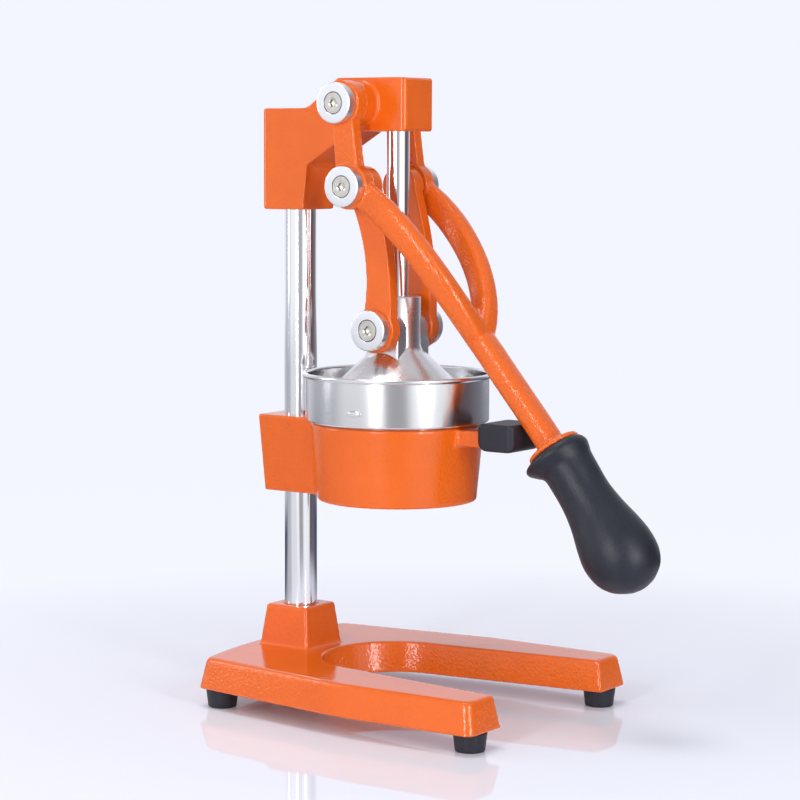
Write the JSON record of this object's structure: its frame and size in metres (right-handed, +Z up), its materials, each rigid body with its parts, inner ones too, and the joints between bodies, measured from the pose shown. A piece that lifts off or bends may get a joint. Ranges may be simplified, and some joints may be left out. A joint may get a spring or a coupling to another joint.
{
  "type": "lever citrus juice press",
  "caption": "Free-standing hand press for citrus: a forked lever and two links push a dome down a guide rod into a strainer bowl held over a glass on a U-shaped base.",
  "frame": {"origin": "on the table, under the middle of the whole outline with the lever down", "axes": "+Z up, -Y towards the handle and the open end of the base, +X to the right seen from there"},
  "size_m": [0.1964, 0.3118, 0.4187],
  "materials": {
    "orange_cast": "glossy orange powder coat with a fine hammered texture",
    "foot_rubber": "matt black rubber",
    "chrome_bar": "bright chrome plate",
    "bowl_steel": "spun stainless sheet, brushed round",
    "polished_aluminium": "cast aluminium, polished",
    "grip_black": "black moulded grip with a fine grain",
    "cap_steel": "turned bright steel",
    "screw_steel": "plain bright steel",
    "black_steel": "blackened steel",
    "bush_brass": "sintered bronze"
  },
  "bodies": {
    "stand": {"base": "orange_cast", "foot_front_left": "foot_rubber", "foot_front_right": "foot_rubber", "foot_rear_left": "foot_rubber", "foot_rear_right": "foot_rubber", "foot_screws": "screw_steel", "column": "chrome_bar", "column_bolt": "screw_steel", "column_washer": "cap_steel", "head": "orange_cast", "head_set_screws": "black_steel", "guide_bush": "bush_brass", "bowl_holder": "orange_cast", "holder_set_screws": "black_steel", "stop_bumper": "foot_rubber", "juice_bowl": "bowl_steel", "bowl_funnel": "bowl_steel", "spout": "bowl_steel", "strainer": "bowl_steel", "reamer": "polished_aluminium", "top_axle": "screw_steel", "top_caps": "cap_steel", "top_screws": "screw_steel"},
    "lever": {"lever": "orange_cast", "grip": "grip_black", "middle_pins": "screw_steel", "middle_caps": "cap_steel", "middle_screws": "screw_steel"},
    "press": {"press_dome": "polished_aluminium", "guide_rod": "chrome_bar", "rod_screw": "screw_steel", "lower_pins": "screw_steel", "lower_caps": "cap_steel", "lower_screws": "screw_steel"},
    "links": {"link_left": "orange_cast", "link_right": "orange_cast"}
  },
  "joints": [
    {"name": "lever_hinge", "type": "hinge", "parent": "stand", "child": "lever", "pos_m": [0, 0.05986, 0.4017], "axis": [-1, 0, 0], "range_deg": [0, 110]},
    {"name": "press_slide", "type": "slide", "parent": "stand", "child": "press", "axis": [0, 0, 1], "range_m": [0, 0.08247]},
    {"name": "links_hinge", "type": "hinge", "parent": "press", "child": "links", "pos_m": [0, 0.04106, 0.2542], "axis": [1, 0, 0], "range_deg": [0, 25.87]}
  ],
  "couplings": [
    {"joint": "press_slide", "follows": "lever_hinge", "m_per_rad": 0.042904},
    {"joint": "links_hinge", "follows": "lever_hinge", "ratio": 0.23497}
  ]
}
